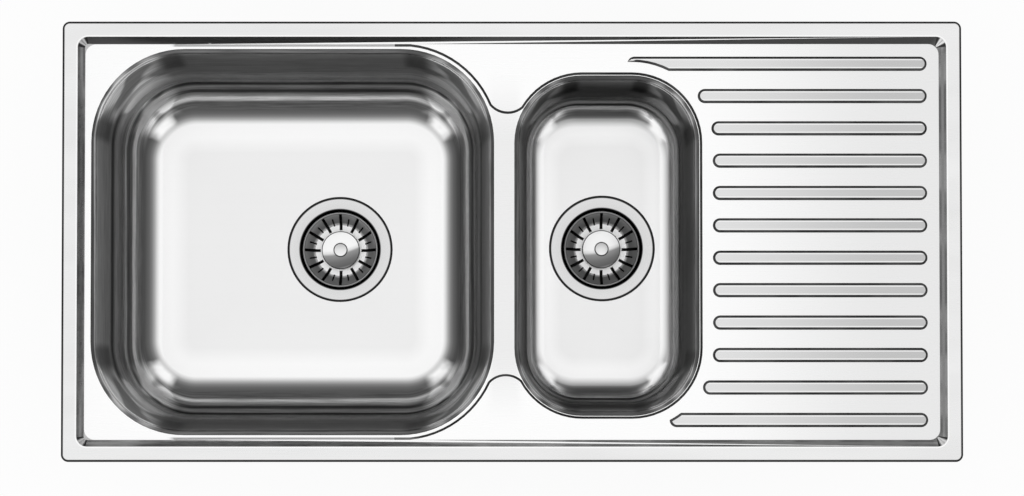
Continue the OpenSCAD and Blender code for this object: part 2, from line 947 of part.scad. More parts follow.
// A folded claw: a plate with a turned-up toothed end, and a turned-up heel
module claw(i) {
    heel_in = screw_in + 7;
    tooth_n = 4;
    tooth = claw_w / tooth_n;
    color("darkgray")
        at_clip(i)
            difference() {
                translate([-claw_w / 2, 0, 0])
                    rotate([90, 0, 90])
                        linear_extrude(claw_w) {
                            translate([claw_out + clip_t + 1, claw_low])
                                square([heel_in - claw_out - clip_t * 2 - 2, clip_t]);
                            translate([claw_out + clip_t + 1, claw_low + clip_t + 1])
                                rotate(180)
                                    bend(clip_t + 1, clip_t);
                            translate([claw_out, claw_low + clip_t + 1])
                                square([clip_t, claw_h - 1]);
                            translate([heel_in - clip_t - 1, claw_low + clip_t + 1])
                                rotate(270)
                                    bend(clip_t + 1, clip_t);
                            translate([heel_in - clip_t, claw_low + clip_t + 1])
                                square([clip_t, claw_h / 2]);
                        }
                translate([0, screw_in, claw_low - over])
                    cylinder(h = clip_t + 2 * over, r = screw_r + side_gap);
                translate([0, claw_out + clip_t + over, 0])
                    rotate([90, 0, 0])
                        linear_extrude(clip_t + 2 * over)
                            for (k = [1 : tooth_n - 1])
                                translate([k * tooth - claw_w / 2, -worktop_t])
                                    polygon([[-tooth / 3, over], [0, -tooth / 2], [tooth / 3, over]]);
            }
}

// A clip's screw: plain shank, and a domed head with a cross slot below the claw
module claw_screw(i) {
    cap_top = claw_low - cap_gap;
    color("silver")
        at_clip(i)
            translate([0, screw_in, 0]) {
                translate([0, 0, cap_top])
                    cylinder(h = screw_top - cap_top, r = screw_r);
                difference() {
                    translate([0, 0, cap_top - screw_cap_h])
                        rotate_extrude()
                            polygon([
                                [0, 0],
                                [screw_cap_r - 1.5, 0],
                                [screw_cap_r, 1.5],
                                [screw_cap_r, screw_cap_h],
                                [0, screw_cap_h]
                            ]);
                    for (turn = [0, 90])
                        rotate([0, 0, turn])
                            translate([-3, -0.5, cap_top - screw_cap_h - over])
                                cube([6, 1, over + 1.8]);
                }
            }
}

// Damping pads under the bowls' floors, clear of the wastes
module main_sound_pad() {
    color("dimgray")
        translate([
            main_waste_x - recess_r - main_pad_gap - main_pad_l / 2,
            0,
            main_floor_z - sheet_t - pad_t
        ])
            linear_extrude(pad_t)
                round_rect(main_pad_l, main_pad_w, pad_r);
}

module half_sound_pad() {
    color("dimgray")
        translate([
            half_x,
            recess_r + half_pad_gap + half_pad_w / 2,
            half_floor_z - sheet_t - pad_t
        ])
            linear_extrude(pad_t)
                round_rect(half_pad_l, half_pad_w, pad_r);
}

deck();
main_bowl();
half_bowl();
rim_seal();
fixing_rails();
main_sound_pad();
half_sound_pad();
at_main_waste() waste_flange();  // main_waste_flange
at_half_waste() waste_flange();  // half_waste_flange
at_main_waste() flange_gasket();  // main_flange_gasket
at_half_waste() flange_gasket();  // half_flange_gasket
at_main_waste() body_gasket();  // main_body_gasket
at_half_waste() body_gasket();  // half_body_gasket
at_main_waste() waste_body();  // main_waste_body
at_half_waste() waste_body();  // half_waste_body
at_main_waste() clamp_screw();  // main_clamp_screw
at_half_waste() clamp_screw();  // half_clamp_screw
at_main_waste() basket();  // main_basket
at_half_waste() basket();  // half_basket
at_main_waste() stopper();  // main_stopper
at_half_waste() stopper();  // half_stopper
at_main_waste() knob();  // main_knob
at_half_waste() knob();  // half_knob
at_main_waste() knob_pin();  // main_knob_pin
at_half_waste() knob_pin();  // half_knob_pin
clip_hooks();
claw(0);  // claw_1
claw(1);  // claw_2
claw(2);  // claw_3
claw(3);  // claw_4
claw(4);  // claw_5
claw(5);  // claw_6
claw_screw(0);  // claw_screw_1
claw_screw(1);  // claw_screw_2
claw_screw(2);  // claw_screw_3
claw_screw(3);  // claw_screw_4
claw_screw(4);  // claw_screw_5
claw_screw(5);  // claw_screw_6
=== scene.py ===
# %% [markdown]
# A steel kitchen sink with one and a half bowls
#
# The shapes of this sink were made in a solid modeller and packed as a fixed frame.
# This lesson dresses that frame: it lights it, sets the camera and gives each piece
# the finish of the real one, with much of the steel's reflections and shade painted into
# its colour. Steel is mostly finish, so most cells build shader nodes.

import math

import bmesh
import bpy
from mathutils import Matrix, Vector


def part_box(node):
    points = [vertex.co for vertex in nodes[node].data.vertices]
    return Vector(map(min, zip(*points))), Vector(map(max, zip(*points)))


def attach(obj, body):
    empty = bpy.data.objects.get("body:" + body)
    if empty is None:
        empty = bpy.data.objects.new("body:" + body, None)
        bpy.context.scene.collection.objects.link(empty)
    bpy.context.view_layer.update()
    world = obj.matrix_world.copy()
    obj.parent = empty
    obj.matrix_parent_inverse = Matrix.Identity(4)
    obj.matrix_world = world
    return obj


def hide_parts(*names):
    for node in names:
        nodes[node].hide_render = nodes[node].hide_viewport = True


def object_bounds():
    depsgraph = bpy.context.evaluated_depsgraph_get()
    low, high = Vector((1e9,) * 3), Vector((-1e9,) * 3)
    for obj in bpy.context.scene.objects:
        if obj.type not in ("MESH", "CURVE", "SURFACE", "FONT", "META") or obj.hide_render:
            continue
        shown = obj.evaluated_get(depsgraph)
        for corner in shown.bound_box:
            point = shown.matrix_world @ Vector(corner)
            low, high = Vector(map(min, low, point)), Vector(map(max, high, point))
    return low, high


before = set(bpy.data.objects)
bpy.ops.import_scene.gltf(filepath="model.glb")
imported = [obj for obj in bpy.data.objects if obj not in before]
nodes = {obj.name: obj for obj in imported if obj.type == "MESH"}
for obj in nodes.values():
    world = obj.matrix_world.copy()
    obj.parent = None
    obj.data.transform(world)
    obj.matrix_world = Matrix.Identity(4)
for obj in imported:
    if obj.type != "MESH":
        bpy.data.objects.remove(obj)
cad_low, cad_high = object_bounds()

# %% [markdown]
# The sizes that the finishes need
#
# A finish that follows a shape has to know where the shape is. These are the same sizes
# as in the solid model, in millimetres, with the origin in the middle of the rim. Each
# outline is a rounded rectangle with a middle, half a length, half a width and a radius.

# %% Sizes of the sink
MM = 1000  # millimetres in a metre: paint is laid out in millimetres, objects are in metres
RIM = {"x": 0, "y": 0, "half_l": 490, "half_w": 240, "r": 8}
STEP = {"x": 0, "y": 0, "half_l": 473.2, "half_w": 223.2, "r": 11.5}
STEP_W = 7.2
MAIN = {"x": -239.4, "y": 0, "half_l": 220, "half_w": 211, "r": 102}
HALF = {"x": 103.7, "y": -4, "half_l": 101, "half_w": 186, "r": 74}
MAIN_FLOOR = {"x": -239.5, "y": -1, "half_l": 165, "half_w": 147.7, "r": 46}
HALF_FLOOR = {"x": 103.0, "y": -4, "half_l": 70, "half_w": 143.5, "r": 40}
LIP_Z = -5.5
MAIN_WASTE, HALF_WASTE = (-195.4, 0), (103.7, 0)
RIB_N, RIB_EDGE = 12, 45.6
RIB_PITCH = 2 * (RIM["half_w"] - RIB_EDGE) / (RIB_N - 1)
print("rib pitch", round(RIB_PITCH, 2), "mm")

# %% [markdown]
# The camera
#
# The photograph looks almost straight down from about three metres. The nearer the
# camera is to the front of the sink, the more the back walls of the bowls show. Most of
# the framing is done by a small tilt, and the rest by shifting the picture.

# %% Camera above the sink
camera_data = bpy.data.cameras.new("camera above")
camera_data.sensor_width = 36
camera_data.lens = 100.28
camera_data.shift_x = 0.0258
camera_data.shift_y = 0.0727
camera_data.clip_start, camera_data.clip_end = 0.1, 50
camera = bpy.data.objects.new("camera above", camera_data)
camera.location = (-0.0287, -0.178, 3.1029)
camera.rotation_euler = (math.radians(1.656), 0, 0)
bpy.context.scene.collection.objects.link(camera)
bpy.context.scene.camera = camera
print("camera height", round(camera.location.z, 2), "m")

# %% [markdown]
# Small helpers for shader nodes
#
# Node trees get long when every link is written out. Each of these helpers makes one node
# and returns its output, so a tree reads like a sum. A value can be a plain number, which
# is set on the socket, or the output of another node, which is linked to it.

# %% Node helpers
def plug(tree, socket, value):
    """Sets a socket to a number or colour, or links it to an output."""
    if isinstance(value, bpy.types.NodeSocket):
        tree.links.new(value, socket)
    else:
        socket.default_value = value


def calc(tree, operation, *values):
    """One Math node."""
    node = tree.nodes.new("ShaderNodeMath")
    node.operation = operation
    for socket, value in zip(node.inputs, values):
        plug(tree, socket, value)
    return node.outputs[0]


def plus(tree, a, b):
    return calc(tree, "ADD", a, b)


def minus(tree, a, b):
    return calc(tree, "SUBTRACT", a, b)


def times(tree, a, b):
    return calc(tree, "MULTIPLY", a, b)


def vectors(tree, operation, *values):
    """One Vector Math node. A dot product gives a number, and the others a vector."""
    node = tree.nodes.new("ShaderNodeVectorMath")
    node.operation = operation
    for socket, value in zip(node.inputs, values):
        plug(tree, socket, value)
    return node.outputs["Value" if operation == "DOT_PRODUCT" else "Vector"]


def scaled(tree, vector, factor):
    """A vector or colour times a number."""
    node = tree.nodes.new("ShaderNodeVectorMath")
    node.operation = "SCALE"
    plug(tree, node.inputs[0], vector)
    plug(tree, node.inputs["Scale"], factor)
    return node.outputs["Vector"]


def split(tree, vector):
    """The x, y and z of a vector."""
    node = tree.nodes.new("ShaderNodeSeparateXYZ")
    plug(tree, node.inputs[0], vector)
    return node.outputs


def join(tree, x, y, z):
    """A vector from x, y and z."""
    node = tree.nodes.new("ShaderNodeCombineXYZ")
    for socket, value in zip(node.inputs, (x, y, z)):
        plug(tree, socket, value)
    return node.outputs[0]


print("helpers: plug, calc, plus, minus, times, vectors, scaled, split, join")

# %% [markdown]
# Masks, mixes and grey levels
#
# A mask is a number from 0 to 1 that says where something is. A smooth step makes a soft
# mask, and a Mix node lays one value over another by it. Grey levels are written as they
# look on a screen, from 0 to 255, and changed to the linear values that shaders work with.

# %% Mask and mix helpers
def linear(grey):
    """A screen grey from 0 to 255 as a linear value."""
    v = grey / 255
    return v / 12.92 if v <= 0.04045 else ((v + 0.055) / 1.055) ** 2.4


def fade(tree, value, low, high, to_low=0.0, to_high=1.0):
    """A smooth step from to_low at low to to_high at high."""
    node = tree.nodes.new("ShaderNodeMapRange")
    node.interpolation_type = "SMOOTHSTEP"
    for socket, v in zip(node.inputs, (value, low, high, to_low, to_high)):
        plug(tree, socket, v)
    return node.outputs[0]


def band(tree, value, middle, width, soft):
    """1 within width of middle, falling to 0 over soft."""
    far = calc(tree, "ABSOLUTE", minus(tree, value, middle))
    return fade(tree, far, width, width + soft, 1.0, 0.0)


def blend(tree, factor, a, b):
    """One Mix node for numbers: a where factor is 0, b where it is 1."""
    node = tree.nodes.new("ShaderNodeMix")
    for n, value in ((0, factor), (2, a), (3, b)):
        plug(tree, node.inputs[n], value)
    return node.outputs[0]


def blend_colours(tree, factor, a, b):
    """One Mix node for colours."""
    node = tree.nodes.new("ShaderNodeMix")
    node.data_type = "RGBA"
    for n, value in ((0, factor), (6, a), (7, b)):
        plug(tree, node.inputs[n], value)
    return node.outputs[2]


def greys(tree, value, stops, span):
    """A colour ramp of (place, screen grey) stops. Places run from 0 to span."""
    node = tree.nodes.new("ShaderNodeValToRGB")
    ramp = node.color_ramp
    for n, (at, grey) in enumerate(stops):
        stop = ramp.elements[n] if n < 2 else ramp.elements.new(min(1, at / span))
        stop.position = min(1, at / span)
        stop.color = (*[linear(grey)] * 3, 1)
    plug(tree, node.inputs[0], calc(tree, "DIVIDE", value, span))
    return node.outputs[0]


def noise(tree, vector, scale, detail=2.0, rough=0.5):
    """One Noise Texture node."""
    node = tree.nodes.new("ShaderNodeTexNoise")
    values = {"Vector": vector, "Scale": scale, "Detail": detail, "Roughness": rough}
    for label, value in values.items():
        plug(tree, node.inputs[label], value)
    return node.outputs["Fac"]


print("white 255 is", linear(255), "and grey 128 is", round(linear(128), 3))

# %% [markdown]
# Node groups
#
# An effect that several finishes share is built once as a node group with named inputs
# and outputs. The group puts out masks and values, and the shader stays in the material.

# %% Make a group, and put one in a material
def new_group(name, inputs, outputs):
    """An empty node group. Returns the tree, the outputs of its input node and the inputs
    of its output node."""
    tree = bpy.data.node_groups.new(name, "ShaderNodeTree")
    for label, default in inputs.items():
        kind = "NodeSocketVector" if isinstance(default, tuple) else "NodeSocketFloat"
        socket = tree.interface.new_socket(label, in_out="INPUT", socket_type=kind)
        socket.default_value = default
    for label in outputs:
        tree.interface.new_socket(label, in_out="OUTPUT", socket_type="NodeSocketFloat")
    given = tree.nodes.new("NodeGroupInput").outputs
    result = tree.nodes.new("NodeGroupOutput").inputs
    return tree, given, result


def use_group(tree, group, **values):
    """Places a group in a tree. Names are written with _ for a space."""
    node = tree.nodes.new("ShaderNodeGroup")
    node.node_tree = group
    for label, value in values.items():
        plug(tree, node.inputs[label.replace("_", " ")], value)
    return node.outputs


print("group helpers ready")

# %% [markdown]
# Rounded rectangle
#
# The rim, the step and both bowls are rounded rectangles in plan. This group tells every
# point how far it is inside such an outline, and how close it is to a corner's diagonal.
# A band at one distance then follows the outline round its corners. Painting the bands on
# an unwrapped image would also work, but it would have to be redone for every size.

# %% Rounded rectangle group
outline_group, given, result = new_group(
    "rounded outline",
    {"Point": (0, 0, 0), "X": 0.0, "Y": 0.0,
     "Half Length": 1.0, "Half Width": 1.0, "Radius": 0.1},
    ("Inset", "Corner", "Side"),
)
t = outline_group
px, py, pz = split(t, given["Point"])
# u and v are distances past the point where a corner's arc starts, along each axis.
u = minus(t, calc(t, "ABSOLUTE", minus(t, px, given["X"])),
          minus(t, given["Half Length"], given["Radius"]))
v = minus(t, calc(t, "ABSOLUTE", minus(t, py, given["Y"])),
          minus(t, given["Half Width"], given["Radius"]))
u_out, v_out = calc(t, "MAXIMUM", u, 0.0), calc(t, "MAXIMUM", v, 0.0)
v_square = times(t, v_out, v_out)
square = plus(t, times(t, u_out, u_out), v_square)
square_safe = plus(t, square, 0.01)  # never 0, so that it can divide
along_side = calc(t, "MINIMUM", calc(t, "MAXIMUM", u, v), 0.0)
far = plus(t, calc(t, "SQRT", square), along_side)
t.links.new(minus(t, given["Radius"], far), result["Inset"])
product = times(t, times(t, u_out, v_out), 2.0)
t.links.new(calc(t, "DIVIDE", product, square_safe), result["Corner"])
t.links.new(calc(t, "DIVIDE", v_square, square_safe), result["Side"])


def inside(tree, point, outline):
    """Where a point is in an outline. Inset is in millimetres. Corner is 1 on a corner's
    diagonal. Side goes round a corner from 0 at the left or right side to 1 at the front or
    back."""
    return use_group(tree, outline_group, Point=point, X=outline["x"], Y=outline["y"],
                     Half_Length=outline["half_l"], Half_Width=outline["half_w"],
                     Radius=outline["r"])


print("group", outline_group.name, "with", len(t.nodes), "nodes")

# %% [markdown]
# Brushed grain
#
# Sheet steel is rolled and then brushed, which leaves fine lines that run along the
# sheet. Noise that is stretched along one axis gives such lines. The lines change the
# shade a little, and a Bump node turns their height into a faint sheen.

# %% Brushed grain group
GRAIN_SCALE = 2.2
grain_group, given, result = new_group(
    "brushed grain", {"Point": (0, 0, 0), "Along": 0.004}, ("Shade", "Height"))
t = grain_group
px, py, pz = split(t, given["Point"])
stretched = join(t, times(t, px, given["Along"]), py, pz)
fine = noise(t, stretched, GRAIN_SCALE, 4.0, 0.6)
broad = noise(t, stretched, GRAIN_SCALE * 0.06, 2.0, 0.5)
t.links.new(plus(t, times(t, fine, 0.6), times(t, broad, 0.4)), result["Shade"])
t.links.new(fine, result["Height"])
print("group", grain_group.name)

# %% [markdown]
# A steel material
#
# Every steel here is the Principled shader, with Metallic at 1 for all but the baskets.
# Each finish differs in its colour, its roughness and its grain. Colour comes from a
# function that draws its own nodes, often with painted reflections and shade in it, and
# the grain then lightens and darkens it.

# %% Steel helper
ROUGH_CHANGE = 0.12  # how much the grain changes the roughness


def new_material(name):
    """A material. Returns it, its tree, its shader's inputs and its coordinates."""
    material = bpy.data.materials.new(name)
    material.use_nodes = True
    tree = material.node_tree
    place = tree.nodes.new("ShaderNodeTexCoord")
    return material, tree, tree.nodes["Principled BSDF"].inputs, place.outputs


def bump_node(tree, height, strength, distance):
    """One Bump node. Its distance is in metres."""
    node = tree.nodes.new("ShaderNodeBump")
    node.inputs["Strength"].default_value = strength
    node.inputs["Distance"].default_value = distance
    plug(tree, node.inputs["Height"], height)
    return node


def steel(name, paint, rough, grain=0.06, along=0.004, tint=1.0, metal=1.0, level=0.0):
    """A metal with the colour that paint(tree, point, normal) gives, where point is in
    millimetres. grain is how strong the brushed lines are, and along how fast they change
    along the sheet. tint is how bright it mirrors at a grazing angle. With level above 0 it
    mirrors as if it lay flatter than it does."""
    material, tree, shader, place = new_material(name)
    point = scaled(tree, place["Object"], MM)
    lines = use_group(tree, grain_group, Point=point, Along=along)
    colour = paint(tree, point, place["Normal"])
    gain = plus(tree, 1 - grain / 2, times(tree, lines["Shade"], grain))
    plug(tree, shader["Base Color"], scaled(tree, colour, gain))
    uneven = times(tree, minus(tree, lines["Shade"], 0.5), ROUGH_CHANGE)
    plug(tree, shader["Roughness"], plus(tree, rough, uneven))
    shader["Metallic"].default_value = metal
    shader["Specular Tint"].default_value = (tint, tint, tint, 1)
    ridges = bump_node(tree, lines["Height"], 0.04, 0.0002)
    if level:
        raised = vectors(tree, "ADD", place["Normal"], (0, 0, level))
        plug(tree, ridges.inputs["Normal"], vectors(tree, "NORMALIZE", raised))
    plug(tree, shader["Normal"], ridges.outputs[0])
    return material


def dress(node, material):
    """Gives a CAD node a finish."""
    for slot in nodes[node].material_slots:
        slot.material = material


print("steel helper ready")

# %% [markdown]
# The bands in the bowls
#
# A drawn bowl mirrors its surroundings: dark bands run round its walls, a bright sweep
# lies where the wall turns into the floor, and the floor itself is almost white. A real
# mirror image would need the studio of the photograph, so the bands are painted. They
# follow the outline of the bowl, so they are drawn by one distance, the reach: how far a
# point is inside the lip, plus half of how deep it lies. The walls to the left and right
# show other bands than the walls at the front and back.

# %% Greys of the bowls
# Pairs of a distance in millimetres and a screen grey of the painted reflections. Sides are
# the left and right walls and ends the front and back walls, both by reach. The foot is the
# floor, by the distance inside a line that lies FLOOR_TURN outside the floor's outline.
BOWL_SPAN = 160
FLOOR_TURN = 26.0
MAIN_SIDES = [
    (0, 63), (2.5, 76), (4.2, 105), (4.8, 221), (6, 217), (8, 146), (14, 133), (22, 131),
    (30, 122), (38, 127), (44, 129), (48.5, 56), (51.5, 52), (55, 128), (62, 179), (70, 177),
    (79, 197), (85, 205), (88.5, 96), (92, 84), (96.5, 136), (99.5, 255), (102, 255),
    (104, 171), (108, 120), (112, 94), (116, 96),
]
MAIN_ENDS = [
    (0, 73), (2.5, 104), (4, 125), (6, 129), (12, 120), (22, 110), (38, 124), (48, 138),
    (56, 154), (64, 198), (73, 255), (80, 255), (84.5, 205), (86.5, 80), (89, 72), (92, 160),
    (96.5, 150), (99.5, 76), (102.5, 76), (105, 150), (108, 181), (111, 232), (113, 204),
    (116, 99), (120, 82), (130, 100),
]
MAIN_FOOT = [
    (0, 72), (12, 84), (17, 104), (20, 130), (23, 172), (26, 222), (29, 252), (44, 252),
    (62, 240), (110, 238),
]
HALF_SIDES = [
    (0, 66), (2.6, 87), (4, 105), (5, 195), (7, 191), (9, 128), (14, 99), (20, 88), (30, 91),
    (40, 96), (50, 126), (58, 121), (66, 176), (74, 162), (79, 255), (82, 231), (85, 255),
    (88, 255), (91, 255), (94, 255), (97, 255),
]
HALF_ENDS = [
    (0, 68), (3, 85), (4.4, 98), (6.4, 160), (7.4, 160), (9, 118), (12.5, 135), (19, 117),
    (26, 104), (33, 98), (43, 98), (48, 107), (54, 117), (62, 140), (69, 231), (75, 190),
    (79, 150), (81.5, 60), (83.5, 66), (85, 240), (88, 165), (90, 100), (93, 70), (96, 66),
    (99, 62), (104, 69),
]
HALF_FOOT = [
    (0, 60), (8, 70), (14, 80), (16.5, 110), (18, 160), (20, 190), (22, 214), (24, 232),
    (27, 252), (36, 252), (50, 240), (90, 238),
]
print("bowl bands:", len(MAIN_SIDES), "and", len(HALF_SIDES))

# %% [markdown]
# Walls and floor of a bowl
#
# Straight bands would look printed, so noise makes the painted reflections waver and
# streak along the way the sheet was drawn. The corners get painted light and shade,
# brighter than the straight walls, and three masks say where. The floor gets its painted
# brightness inside a rounded outline of its own.

# %% Wall and floor paint
DEPTH_SHARE = 0.5  # how much of its depth a point adds to its reach
ACROSS, ALONG = 0.16, 0.006  # how fast the streaks change across the bands, and along them
WAVER = 3.0  # millimetres that the bands wander
# How far the painted reflection streaks lighten and darken the bands.
REFLECTION_STREAK_GAINS = (0.75, 1.35)
# Gains of the painted corner highlights, the painted dark patch and the painted lip highlight.
FLARE_GAIN, SHADE_PATCH_GAIN, LIP_HIGHLIGHT_GAIN = 3.2, 0.35, 3.6


def wall_paint(tree, point, edge, sides, ends):
    """The painted reflections on the walls of a bowl, where edge is the place in the lip's
    outline.
    """
    x, y, z = split(tree, point)
    reach = plus(tree, edge["Inset"], times(tree, minus(tree, LIP_Z, z), DEPTH_SHARE))
    drawn = join(tree, times(tree, reach, ACROSS), times(tree, x, ALONG), times(tree, y, ALONG))
    wander = minus(tree, noise(tree, drawn, 1.0, 1.0), 0.5)
    reach = plus(tree, reach, times(tree, wander, WAVER))
    wall = blend(tree, edge["Side"], greys(tree, reach, sides, BOWL_SPAN),
                 greys(tree, reach, ends, BOWL_SPAN))
    # Painted reflection streaks that lighten and darken the bands.
    reflection_streaks = noise(tree, drawn, 3.0, 4.0, 0.7)
    gain = blend(tree, fade(tree, reflection_streaks, 0.3, 0.7), *REFLECTION_STREAK_GAINS)
    sweeps = noise(tree, join(tree, times(tree, edge["Side"], 2.6),
                              times(tree, reach, 0.045), 3.0), 1.0, 0.0)
    # Painted highlight: soft sweeps of light on the corners.
    flare = times(tree, fade(tree, edge["Corner"], 0.45, 0.95),
                  fade(tree, sweeps, 0.4, 0.58))
    # Painted shade: a darker patch where each corner starts.
    shade_patch = times(tree, band(tree, edge["Corner"], 0.34, 0.12, 0.3),
                  band(tree, reach, 24.0, 12.0, 14.0))
    # Painted highlight: a bright line just below the lip, on the corners only.
    lip_highlight = times(tree, band(tree, reach, 6.6, 1.5, 0.8),
                     fade(tree, edge["Corner"], 0.3, 0.85))
    for mask, factor in ((flare, FLARE_GAIN), (shade_patch, SHADE_PATCH_GAIN), (lip_highlight, LIP_HIGHLIGHT_GAIN)):
        gain = times(tree, gain, blend(tree, mask, 1.0, factor))
    return scaled(tree, wall, gain)


def floor_paint(tree, point, flat, inner, foot):
    """The painted reflection on the floor of a bowl, where flat is the place in the floor's
    outline.
    """
    clouds = times(tree, noise(tree, point, 0.09, 1.0), 0.16)
    # A painted white glint on each corner's diagonal, where the wall turns into the floor.
    glint = times(tree, fade(tree, plus(tree, flat["Corner"], clouds), 0.84, 1.08),
                  band(tree, inner, 14.0, 5.0, 8.0))
    return blend_colours(tree, glint, greys(tree, inner, foot, BOWL_SPAN), (1, 1, 1, 1))


print("paint for walls and floors ready")

# %% [markdown]
# The two bowls
#
# A bowl is one sheet, so its inside and its outside are one mesh with one material. The
# inside gets the painted reflection bands and the floor, and the outside, which is never
# polished, gets a plain satin grey. The surface's normal tells them apart: inside, it points
# to a place above the middle of the bowl.

# %% Bowl finish
SKIN_GREY = 176
EYE_Z = 100  # millimetres above the rim
SIDE_SOFT, END_SOFT = 7.0, 10.0  # how softly the floor's paint starts


def bowl_paint(outline, floor_outline, sides, ends, foot, side_start, end_start):
    """Paint for a bowl: painted reflections inside, a plain grey outside. The floor's paint
    starts at side_start of the foot's distances to the left and right, and at end_start at
    the front and back."""
    def paint(tree, point, normal):
        edge, flat = inside(tree, point, outline), inside(tree, point, floor_outline)
        walls = wall_paint(tree, point, edge, sides, ends)
        inner = plus(tree, flat["Inset"], FLOOR_TURN)
        floor_grey = floor_paint(tree, point, flat, inner, foot)
        on_floor = fade(tree, inner, blend(tree, flat["Side"], side_start, end_start),
                        blend(tree, flat["Side"], side_start + SIDE_SOFT, end_start + END_SOFT))
        painted_inside = blend_colours(tree, on_floor, walls, floor_grey)
        to_middle = vectors(tree, "SUBTRACT", (outline["x"], outline["y"], EYE_Z), point)
        toward = vectors(tree, "DOT_PRODUCT", normal, to_middle)
        skin = (*[linear(SKIN_GREY)] * 3, 1)
        return blend_colours(tree, calc(tree, "GREATER_THAN", toward, 0.0), skin, painted_inside)
    return paint


main_paint = bowl_paint(MAIN, MAIN_FLOOR, MAIN_SIDES, MAIN_ENDS, MAIN_FOOT, 6, 6)
half_paint = bowl_paint(HALF, HALF_FLOOR, HALF_SIDES, HALF_ENDS, HALF_FOOT, 15, 7)
dress("main_bowl", steel("main bowl steel", main_paint, 0.3, tint=0.5))
dress("half_bowl", steel("half bowl steel", half_paint, 0.3, tint=0.3))
print("bowls dressed, floor paint starts", FLOOR_TURN, "mm outside each floor")

# %% [markdown]
# The deck
#
# The rim, the drainer and the strip between the bowls are one pressed sheet. Flat
# stretches look nearly white from above, and every pressed slope gets a painted dark shade.
# The slope is found from the surface's own normal: the more it leans, the darker the painted
# shade. So the ribs and folds need no outline of their own, and they stay right if their
# shape changes.

# %% Deck finish
# Painted shade: the level deck and the rib tops grow darker towards the drainer's far end.
LEVEL_GREYS = (252, 233)  # beside the bowls, and at the far end of the drainer
RIB_GREYS = (224, 194)  # the same for the tops of the ribs
RIM_GREYS = (222, 246)  # the rim drifts between these
# Painted shade of the pressed slopes, in waves.
STEP_SHADE_GREYS = (138, 190)  # the step inside the rim, in waves
SLOPE_SHADE_GREYS = (68, 100)  # the other slopes, in waves
# The rolled edge and the slope outside the step get painted shade greys.
STRIP_GREY, ROLL_SHADE_GREY, OUTER_SLOPE_SHADE_GREY = 236, 46, 70
RIB_TOP_Z = -1.3
SLOPED, LEVEL = 0.9, 0.985  # the z of a normal where paint is all slope, and all level
LEDGE_X = -128.0  # the ledge beside the big bowl lies to the left of this
ROLL = (2.0, 2.9)  # millimetres from the rim's outline where the rolled edge ends


def level_paint(tree, point, edge):
    """The level stretches of the deck, with their painted shade and highlight lines, where edge
    is the distance inside the step.
    """
    x, y, z = split(tree, point)
    # Painted shade: darker towards the far end of the drainer.
    flat = blend(tree, fade(tree, x, 180.0, 420.0), *map(linear, LEVEL_GREYS))
    drift = noise(tree, join(tree, times(tree, x, 0.004), times(tree, y, 0.02), 0.0), 1.0)
    rim = blend(tree, drift, *map(linear, RIM_GREYS))
    # Painted highlight: a bright line along the rim's inner edge, beside the step.
    rim = blend(tree, band(tree, edge, -1.0, 0.4, 0.5), rim, linear(250))
    flat = blend(tree, calc(tree, "LESS_THAN", edge, 0.0), flat, rim)
    # Painted highlight: every rib has a lighter line along each edge of its top.
    to_rib = plus(tree, y, RIM["half_w"] - RIB_EDGE + RIB_PITCH * 20.5)
    to_rib = minus(tree, calc(tree, "MODULO", to_rib, RIB_PITCH), RIB_PITCH / 2)
    rib_top = blend(tree, fade(tree, x, 200.0, 430.0), *map(linear, RIB_GREYS))
    rib_highlight = band(tree, calc(tree, "ABSOLUTE", to_rib), 4.3, 0.3, 0.5)
    rib_top = blend(tree, rib_highlight, rib_top, linear(240))
    on_top = times(tree, calc(tree, "GREATER_THAN", z, RIB_TOP_Z),
                   calc(tree, "GREATER_THAN", edge, 9.0))
    flat = blend(tree, on_top, flat, rib_top)
    # The strip between the bowls is a shade greyer than the corners.
    strip = times(tree, band(tree, x, -8.0, 10.0, 14.0), band(tree, y, -5.0, 110.0, 90.0))
    return blend(tree, strip, flat, linear(STRIP_GREY))


def painted_slope_shade(tree, point, step):
    """The painted shade on the pressed slopes of the deck, where step is the place in the
    step's outline.
    """
    x, y, z = split(tree, point)
    edge, corner = step["Inset"], step["Corner"]
    wave = noise(tree, join(tree, times(tree, x, 0.02), times(tree, y, 0.02), 0.0),
                 1.0, 2.0, 0.6)
    wave = fade(tree, wave, 0.35, 0.65)
    at_back = calc(tree, "GREATER_THAN", y, STEP["half_w"] - STEP_W - 4.0)
    rim_step = blend(tree, wave, *map(linear, STEP_SHADE_GREYS))
    # Painted light and shade on the step: a lighter line along its middle, a darker back, a
    # bright glint on each corner's diagonal and a dark band part way round each corner.
    for mask, grey in (
        (band(tree, edge, STEP_W / 2, 0.8, 0.8), 178),
        (at_back, 100),
        (band(tree, corner, 0.9, 0.05, 0.1), 240),
        (band(tree, corner, 0.45, 0.1, 0.2), 60),
    ):
        rim_step = blend(tree, mask, rim_step, linear(grey))
    others = blend(tree, wave, *map(linear, SLOPE_SHADE_GREYS))
    on_step = calc(tree, "LESS_THAN", edge, STEP_W + 2.2)
    slope = blend(tree, on_step, others, rim_step)
    # Painted shade on the slope outside the step.
    return blend(tree, calc(tree, "LESS_THAN", edge, 0.0), slope, linear(OUTER_SLOPE_SHADE_GREY))


